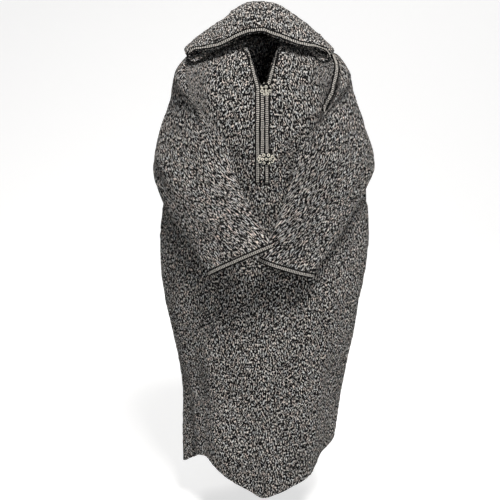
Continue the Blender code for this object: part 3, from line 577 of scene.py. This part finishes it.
goreFrom, goreTo = form["goreFrom"], form["goreTo"]
goreAngles = np.arange(goreFrom, goreTo + 0.5, 1.0)
frontAngles = np.concatenate([  # closer together at the slit
    np.arange(-goreFrom, -12, 1.0), np.arange(-12, 12, 0.5), np.arange(12, goreFrom + 0.5, 1.0)])
panels = {
    "front_panel": {"angles": frontAngles, "rows": 252, "seed": 11},
    "back_panel": {"angles": np.arange(goreTo, 360.5 - goreTo, 1.0), "rows": 246, "seed": 12},
    "gore_left": {"angles": goreAngles, "rows": 190, "seed": 13},
    "gore_right": {"angles": -goreAngles, "rows": 190, "seed": 14},
}
pieces = {}
grids = {}
for name, s in panels.items():
    grids[name], uv = panelGrid(s["angles"], s["rows"], s["seed"])
    pieces[name] = wallOf(meshFromGrid(name + "_cloth", grids[name], uv))
bodyTree = treeOf([(grids[name], False) for name in panels])
frontTree = treeOf([(grids["front_panel"], False)])
print("stage: body panels")


# the sleeves' folds: shares of the way down and degrees round from the shoulder, half width, height
sleeveFolds = [
    ([(0.40, 70), (0.38, 45), (0.37, 15)], 0.016, -0.003),
    ([(0.54, 68), (0.55, 45), (0.60, 12)], 0.018, -0.004),
    ([(0.66, 70), (0.72, 45), (0.80, 10)], 0.018, 0.003),
    ([(0.14, 75), (0.22, 50), (0.34, 8)], 0.020, -0.004),
    ([(0.18, 330), (0.40, 335), (0.62, 345)], 0.020, 0.006),
    ([(0.34, 300), (0.46, 318), (0.60, 322)], 0.016, -0.005),
    ([(0.30, 250), (0.45, 230), (0.60, 215)], 0.022, -0.007),
    ([(0.10, 230), (0.30, 212), (0.50, 198)], 0.018, -0.006),
    ([(0.74, 300), (0.88, 305), (0.99, 300)], 0.015, -0.003),
    ([(0.70, 130), (0.85, 140), (0.99, 135)], 0.015, 0.003),
]
sleeve = {"rows": 118, "cols": 140, "lapOff": 0.0036, "edgeOff": 0.0034, "firstOff": 0.0042,
          "lastOff": 0.0038, "flat": 0.17, "grain": (0.94, 0.86), "nubs": 0.0008}


def sleeveGrid(sections, side, seed):
    rows, cols = sleeve["rows"], sleeve["cols"]
    turn = np.linspace(0, 2 * np.pi, cols, endpoint=False)
    angles = (34.0 + 112.0 * np.degrees(turn) / 360) * side
    edge = upperEdge(angles)
    lap = bodySurface(angles, [0.0005, 0.0045])[1]
    off = np.array([onCloth(bodyTree, p, 0)[1] for p in lap])
    rings = [lap + off * sleeve["lapOff"], edge + off * sleeve["edgeOff"]]
    quarters = np.stack([np.cos(turn), np.sin(turn), -np.cos(turn), -np.sin(turn)], axis=1).clip(0) ** 2
    rings.append(edge + quarters @ np.array(sleeveLeaves) * (side, 1, 1))
    outer, under = np.cos(turn)[:, None] > 0, np.sin(turn)[:, None] < 0
    for k, (outside, frontEdge, inside, elbow) in enumerate(np.asarray(sections, float)):
        middle, half = (frontEdge + elbow) / 2, (frontEdge - elbow) / 2
        bulge = np.where(outer, outside - middle, middle - inside)
        flat = np.where(outer & under, 1 - sleeve["flat"] * min(k, 2), 1.0)  # flat down to the elbow's edge
        reach = np.sign(np.cos(turn))[:, None] * np.abs(np.cos(turn))[:, None] ** flat
        rings.append(middle + half * np.sin(turn)[:, None] + bulge * reach)
    rings = np.array(rings)
    between = np.linalg.norm(np.diff(rings, axis=0), axis=2).mean(axis=1)
    along = np.concatenate([[0.0], np.cumsum(between)])
    table = np.concatenate([along[:, None], rings.reshape(len(rings), -1)], axis=1)
    grid = readTable(table, np.linspace(0, along[-1], rows)).reshape(rows, cols, 3)
    grid = facingOut(grid, closed=True)
    turned = np.allclose(grid[0, 1], rings[0][-1], atol=0.002)  # facingOut may have turned it round
    lines = []
    for k, (line, half, ridge) in enumerate(sleeveFolds):
        spots = []
        for share, degrees in line:
            degrees = 360 - degrees if turned else degrees
            spots.append(grid[int(share * (rows - 1)), int(degrees / 360 * cols) % cols])
        lines.append((np.array(spots), half, ridge, k + seed))
    grid = pressFolds(grid, lines, closed=True)
    grid = settle(grid, bodyTree, sleeve["firstOff"])
    grid = soften(grid, 3)
    grid = settle(grid, bodyTree, sleeve["lastOff"])
    grid = np.roll(grid, cols // 2, axis=1)
    uv = clothUv(grid, closed=True) * sleeve["grain"]  # a slightly coarser yarn
    return nubs(grid, uv, seed, sleeve["nubs"], closed=True), uv


for name, sections, side, seed in (("left", leftSleeve, 1, 21), ("right", rightSleeve, -1, 22)):
    key = "sleeve_" + name
    grids[key], uv = sleeveGrid(sections, side, seed)
    pieces[key] = wallOf(meshFromGrid(key + "_cloth", grids[key], uv, closed=True))
print("stage: sleeves")


def hoodHalf(share, side, stations):
    flat = [[row[0]] + [value for point in row[1:] for value in point] for row in hoodRows]
    points = readTable(flat, share).reshape(8, 3)
    points[:, 0] *= side if share < 1.0 else 0.0
    points[:, 0] += np.array(hoodLean) * (1 - share)
    if side > 0:
        for k, shift in hoodLeftShift.items():
            points[k] += np.multiply(shift, 1 - share)
    return readTable(np.concatenate([np.arange(8.0)[:, None], points], axis=1), stations)


hood = {"rows": 84, "stations": np.linspace(0, 7, 88), "seed": 31, "grain": 0.90, "nubs": 0.0012, "folds": [
    ([(-0.165, -0.050, 0.040), (-0.130, 0.010, 0.088), (-0.070, 0.070, 0.130)], 0.018, -0.002),
    ([(0.150, -0.055, 0.046), (0.120, 0.015, 0.090), (0.060, 0.080, 0.130)], 0.018, -0.002),
    ([(-0.100, -0.060, 0.070), (-0.085, -0.005, 0.115), (-0.040, 0.050, 0.148)], 0.014, 0.002),
    ([(0.030, 0.145, 0.080), (0.070, 0.185, 0.000), (0.090, 0.200, -0.080)], 0.018, -0.006),
    ([(-0.030, 0.145, 0.080), (-0.075, 0.185, 0.000), (-0.092, 0.200, -0.085)], 0.018, -0.006),
    ([(0.0, -0.070, 0.120), (0.0, 0.060, 0.146), (0.0, 0.165, 0.060), (0.0, 0.215, -0.080)], 0.004, -0.0016)]}
rows = []
for share in np.linspace(0, 1, hood["rows"]):
    right, left = hoodHalf(share, -1, hood["stations"]), hoodHalf(share, 1, hood["stations"])
    rows.append(np.concatenate([right, left[-2::-1]]))
hoodGrid = np.array(rows)[:, ::-1]
ends = hoodGrid[-1].copy()
hoodPaths = [(np.array(line), half, ridge, k) for k, (line, half, ridge) in enumerate(hood["folds"])]
hoodGrid = pressFolds(hoodGrid, hoodPaths)
uv = clothUv(hoodGrid) * hood["grain"]
hoodGrid = nubs(hoodGrid, uv, hood["seed"], hood["nubs"])
hoodGrid[-1] = ends  # its two sides meet in one line
grids["hood"] = hoodGrid
pieces["hood"] = wallOf(meshFromGrid("hood_cloth", hoodGrid, uv), weld=True)
print("stage: hood")

# braids, as across and up in mm for a width of 18 mm: two cords with a flat band between them, and
# the band alone
profile = [(-8.9, 0.0), (-9.0, 1.0), (-8.6, 2.4), (-7.0, 3.1), (-5.2, 2.4), (-4.7, 1.1), (-4.5, 0.9),
           (-2.2, 1.3), (0.0, 1.0), (2.2, 1.3), (4.5, 0.9), (4.7, 1.1), (5.2, 2.4), (7.0, 3.1), (8.6, 2.4),
           (9.0, 1.0), (8.9, 0.0), (0.0, -0.1)]
plain = [(-4.4, 0.0), (-4.5, 0.6), (-4.2, 1.2), (-2.2, 1.6), (0.0, 1.3), (2.2, 1.6), (4.2, 1.2), (4.5, 0.6),
         (4.4, 0.0), (0.0, -0.1)]
plait = {"step": 0.003, "off": 0.0011, "width": 0.018, "bandFrom": 6, "bandTo": 10}
stitch = {"every": 2, "off": 0.0022, "long": 0.0024, "wide": 0.0017, "high": 0.0010, "rise": 0.0014,
          "lean": 3.0, "plainLean": 1.2, "unevenLean": 0.2, "unevenRise": 0.0001}


def evenly(path, step, closed=False):
    path = np.array(path)
    if closed:
        path = np.concatenate([path, path[:1]])
    along = np.concatenate([[0.0], np.cumsum(np.linalg.norm(np.diff(path, axis=0), axis=1))])
    count = max(4, int(round(along[-1] / step)))
    at = np.linspace(0, along[-1], count + 1)
    points = readTable(np.concatenate([along[:, None], path], axis=1), at)
    return points[:-1] if closed else points


def grains(places):  # small oval stitches, one for each place, tangent, across and normal
    turn = np.linspace(0, 2 * np.pi, 7)[:-1]
    rings = [(-0.8, 0.55), (0.0, 1.0), (0.8, 0.55)]
    verts, faces = [], []
    for place, along, across, normal, lean in places:
        lengthways = unit(along + across * lean)
        sideways = np.cross(normal, lengthways)
        start = len(verts)
        for at, reach in rings:
            for t in turn:
                verts.append(place + lengthways * at * stitch["long"]
                             + sideways * math.cos(t) * reach * stitch["wide"]
                             + normal * math.sin(t) * reach * stitch["high"])
        n = len(turn)
        for low in (start, start + n):
            for i in range(n):
                k = (i + 1) % n
                faces.append((low + i, low + k, low + n + k, low + n + i))
        faces.append(tuple(start + i for i in range(n))[::-1])
        faces.append(tuple(start + 2 * n + i for i in range(n)))
    return verts, faces


def braid(name, tree, path, width=plait["width"], closed=False, cords=True):
    shape = profile if cords else plain
    points = evenly(path, plait["step"], closed)
    if closed:
        along = unit(np.roll(points, -1, axis=0) - np.roll(points, 1, axis=0))
    else:
        along = unit(np.gradient(points, axis=0))
    grid, frames = [], []
    for point, direction in zip(points, along):
        middle, normal = onCloth(tree, point, 0)
        across = unit(np.cross(normal, direction))
        frames.append((middle, direction, across, normal))
        row = []
        for off, rise in shape:
            place, out = onCloth(tree, point + across * off * width / 18, 0)
            row.append(place + out * (rise * 0.001 + plait["off"]))
        grid.append(row)
    grid = np.array(grid)
    if closed:
        grid = np.concatenate([grid, grid[:1]])
    uv = np.zeros((len(grid), len(shape) + 1, 2))
    uv[..., 1] = (np.arange(len(grid)) * plait["step"])[:, None]
    uv[..., 0] = np.array([off for off, rise in shape] + [shape[0][0]])[None] * 0.001
    obj = meshFromGrid(name, grid, uv, closed=True)
    n = len(shape)
    for k, face in enumerate(obj.data.polygons):
        face.material_index = 1 if not cords or plait["bandFrom"] <= k % n < plait["bandTo"] else 0
    pick(obj)
    bpy.ops.object.mode_set(mode="EDIT")
    bpy.ops.mesh.select_all(action="SELECT")
    if closed:
        bpy.ops.mesh.remove_doubles(threshold=0.00002)
    else:
        bpy.ops.mesh.fill_holes(sides=0)
    bpy.ops.mesh.select_all(action="SELECT")
    bpy.ops.mesh.normals_make_consistent(inside=False)
    bpy.ops.object.mode_set(mode="OBJECT")
    rng = np.random.default_rng(1)
    slant = stitch["lean"] if cords else stitch["plainLean"]
    places = []
    for middle, direction, across, normal in frames[1:-1:stitch["every"]]:
        for side in (-1, 1):
            lean = slant * side + rng.normal() * stitch["unevenLean"]
            place, out = onCloth(tree, middle + across * side * stitch["off"], 0)
            lift = plait["off"] + stitch["rise"] + rng.normal() * stitch["unevenRise"]
            places.append((place + out * lift, direction, across, out, lean))
    verts, faces = grains(places)
    mesh = bpy.data.meshes.new(name + "_stitches")
    mesh.from_pydata([tuple(v) for v in verts], [], faces)
    mesh.uv_layers.new(name="grain")
    for face in mesh.polygons:
        face.material_index = 2
    stitches = bpy.data.objects.new(name + "_stitches", mesh)
    bpy.context.scene.collection.objects.link(stitches)
    for look in ("cord", "band", "stitch"):
        obj.data.materials.append(looks[look])
        mesh.materials.append(looks[look])
    pick(obj)
    stitches.select_set(True)
    bpy.ops.object.join()
    bpy.ops.object.shade_smooth_by_angle(angle=math.radians(50))
    obj.select_set(False)
    return obj


placket = {"x": -0.0010, "braidOff": 0.0138, "top": 0.100, "end": 0.385, "every": 0.0135,
           "slit": np.array([8.9, 8.0, 7.0, 5.8, 4.6, 3.5, 2.6]), "slitOff": 0.009,
           "stripTop": 0.098, "stripEnd": 0.325, "stripEvery": 0.0145}
for side, name in ((1, "left"), (-1, "right")):
    slit = upperEdge(placket["slit"] * side)
    slit[:, 0] += placket["slitOff"] * side
    path = list(slit)
    for drop in np.arange(placket["top"], placket["end"], placket["every"]):
        path.append((placket["x"] + placket["braidOff"] * side, ring(0.0, drop)[1], -drop))
    pieces["front_braid_" + name] = braid("front_trim_" + name, frontTree, path)
    sleeveTree = treeOf([(grids["sleeve_" + name], True)])
    loop = grids["sleeve_" + name][-3]
    pieces["cuff_braid_" + name] = braid("cuff_trim_" + name, sleeveTree, loop, closed=True)

drops = np.arange(placket["stripTop"], placket["stripEnd"], placket["stripEvery"])
strip = [(placket["x"], ring(0.0, drop)[1], -drop) for drop in drops]
pieces["placket_strip"] = braid("placket_band", frontTree, strip, cords=False)

# round the left armhole, over the shoulder: how far the braid lies in from the seam, by the angle
armBraid = {"angle": [34, 48, 62, 114, 146], "off": [0.0125, 0.0155, 0.0210, 0.0145, 0.0125], "width": 0.019}
arc = np.concatenate([np.linspace(62.0, 34.0, 17), np.linspace(146.0, 114.0, 17)[1:]])
seam = upperEdge(arc)
path = []
offs = np.interp(arc, armBraid["angle"], armBraid["off"])
for point, direction, off in zip(seam, np.gradient(seam, axis=0), offs):
    across = np.cross(onCloth(bodyTree, point, 0)[1], direction)
    across *= off / np.linalg.norm(across)
    sides = [point + across, point - across]
    path.append(min(sides, key=lambda p: np.linalg.norm(onCloth(bodyTree, p, 0)[0] - p)))
pieces["armhole_braid"] = braid("armhole_trim", bodyTree, path, width=armBraid["width"])

hoodTree = treeOf([(grids["hood"], False)])
rim = {"off": 0.0098, "rows": 12}
rimGrid = hoodGrid[:rim["rows"]]
rimDown = np.cumsum(np.linalg.norm(np.diff(rimGrid, axis=0), axis=2), axis=0)
rimDown = np.concatenate([np.zeros((1, rimGrid.shape[1])), rimDown])
rimPath = [[np.interp(rim["off"], rimDown[:, c], rimGrid[:, c, k]) for k in range(3)]
           for c in range(rimGrid.shape[1])]
pieces["hood_braid"] = braid("hood_trim", hoodTree, rimPath)
print("stage: braids")

# small curled loops of cream cord heaped round each fastening
knots = {
    "knot_top": {"at": (0.009, 0.103), "ring": (0.0125, 0.0160), "loops": 8, "turn": 0.4,
                 "middle": [(0.0, 0.0060), (0.0, -0.0060)]},
    "knot_bottom": {"at": (0.010, 0.308), "ring": (0.0230, 0.0125), "loops": 10, "turn": 1.9,
                    "middle": [(-0.0115, 0.0), (0.0, 0.0), (0.0115, 0.0)]},
}
curl = {"major": 0.0036, "minor": 0.0017, "ringLift": 0.0036, "middleLift": 0.0058, "base": 0.0040,
        "baseRim": 0.0050, "fall": 3, "unevenLift": 0.0004, "unevenTurn": (0.25, 0.2, 0.3),
        "unevenSize": 0.0003, "sortFrom": (0.3, 0.5, 0.7)}
for name, s in knots.items():
    x, drop = s["at"]
    middle = np.array([x, ring(0.0, drop)[1], -drop])
    place, normal = onCloth(frontTree, middle, curl["base"])
    tilt = math.atan2(normal[2], -normal[1])
    bpy.ops.mesh.primitive_uv_sphere_add(segments=24, ring_count=12, radius=1.0, location=place,
                                         rotation=(tilt, 0, 0))
    base = bpy.context.object
    # a new sphere lists its faces in no fixed order, so they are sorted by distance from an uneven spot
    bpy.context.scene.cursor.location = place + curl["sortFrom"]
    bpy.ops.object.mode_set(mode="EDIT")
    bpy.ops.mesh.select_all(action="SELECT")
    bpy.ops.mesh.sort_elements(type="CURSOR_DISTANCE", elements={"FACE"})
    bpy.ops.object.mode_set(mode="OBJECT")
    base.scale = (s["ring"][0] + curl["baseRim"], curl["base"], s["ring"][1] + curl["baseRim"])
    base.data.materials.append(looks["cord"])
    made = [base]
    rng = np.random.default_rng(int(s["turn"] * 10))
    turns = np.linspace(0, 2 * np.pi, s["loops"], endpoint=False) + s["turn"]
    spots = [(math.cos(t) * s["ring"][0], math.sin(t) * s["ring"][1], curl["ringLift"]) for t in turns]
    spots += [(x, z, curl["middleLift"]) for x, z in s["middle"]]
    up = unit(np.cross(normal, (1, 0, 0)))
    for x, z, lift in spots:
        rise = lift - curl["fall"] * x**2 + rng.normal() * curl["unevenLift"]
        at = place + np.array([x, 0, 0]) + up * z + normal * rise
        lean = [rng.normal() * most for most in curl["unevenTurn"]]
        lean[0] += math.pi / 2 + tilt
        bpy.ops.mesh.primitive_torus_add(location=at, rotation=lean, major_segments=14, minor_segments=7,
                                         major_radius=curl["major"] + rng.normal() * curl["unevenSize"],
                                         minor_radius=curl["minor"])
        loop = bpy.context.object
        loop.data.materials.append(looks["curl"])
        made.append(loop)
    for o in made:
        o.select_set(True)
    bpy.context.view_layer.objects.active = base
    bpy.ops.object.join()
    bpy.ops.object.transform_apply(location=True, rotation=True, scale=True)
    base.name = name + "_rosette"
    bpy.ops.object.shade_smooth()
    base.select_set(False)
    pieces[name] = base
print("stage: knots")


for node, obj in pieces.items():
    if node in panels or node.startswith("sleeve") or node == "hood":
        obj.data.materials.append(looks["cloth"])
    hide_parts(node)
    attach(obj, "root")
# a pale floor that curves up into the wall behind
studio = {"floor": -1.50, "front": -9.0, "bend": 4.0, "radius": 2.5, "top": 9.0, "half": 9.0, "steps": 12,
          "white": 0.55, "glow": 0.66}
bpy.ops.mesh.primitive_plane_add(size=2, location=(0, 0, studio["floor"]))
floor = bpy.context.object
floor.name = "floor"
outline = [(studio["front"], studio["floor"])]
for k in range(studio["steps"] + 1):
    turn = math.pi / 2 * k / studio["steps"]
    outline.append((studio["bend"] + studio["radius"] * math.sin(turn),
                    studio["floor"] + studio["radius"] * (1 - math.cos(turn))))
outline.append((studio["bend"] + studio["radius"], studio["top"]))
verts = [(x, y, z) for y, z in outline for x in (-studio["half"], studio["half"])]
faces = [(2 * k, 2 * k + 1, 2 * k + 3, 2 * k + 2) for k in range(len(outline) - 1)]
floor.data.clear_geometry()
floor.data.from_pydata(verts, [], faces)
bpy.ops.object.transform_apply(location=False, rotation=True, scale=True)
floor.location = (0, 0, 0)
pick(floor)
bpy.ops.object.shade_smooth()
paper = newMaterial("white paper", (studio["white"],) * 3, 0.95)
paperTree = paper.node_tree
paperShader = paperTree.nodes["Principled BSDF"]
paperShader.inputs["Emission Color"].default_value = (1, 1, 1, 1)
seen = paperTree.nodes.new("ShaderNodeLightPath")
glow = mathNode(paperTree, "MULTIPLY", seen.outputs["Is Camera Ray"], studio["glow"])
paperTree.links.new(glow, paperShader.inputs["Emission Strength"])
floor.data.materials.append(paper)
floor.select_set(False)

world = bpy.data.worlds.new("studio")
bpy.context.scene.world = world
world.use_nodes = True
sky = world.node_tree.nodes["Background"]
sky.inputs["Color"].default_value = (0.96, 0.98, 1, 1)
sky.inputs["Strength"].default_value = 0.15

lamps = [
    ("key", (1.1, -3.3, 5.0), 1.5, 385, (1.0, 0.975, 0.95)),
    ("front", (1.2, -4.8, 0.2), 1.6, 18, (0.94, 0.97, 1.0)),
    ("back", (-1.2, 3.4, 3.4), 2.0, 110, (1.0, 0.985, 0.96)),
]
for name, place, size, power, colour in lamps:
    light = bpy.data.lights.new(name, "AREA")
    light.energy, light.size, light.color = power, size, colour
    lamp = bpy.data.objects.new(name, light)
    lamp.location = place
    lamp.rotation_euler = (Vector((0, 0, -0.6)) - Vector(place)).to_track_quat("-Z", "Y").to_euler()
    bpy.context.scene.collection.objects.link(lamp)

shot = {"lens": 61.2, "sensor": 36.0, "place": (-0.038, -2.7, 0.0), "tilt": 77}  # from shoulder height
view = bpy.data.cameras.new("camera")
view.lens, view.sensor_width = shot["lens"], shot["sensor"]
camera = bpy.data.objects.new("camera", view)
camera.location = shot["place"]
camera.rotation_euler = (math.radians(shot["tilt"]), 0, 0)
bpy.context.scene.collection.objects.link(camera)
bpy.context.scene.camera = camera
bpy.context.scene.view_settings.view_transform = "Standard"
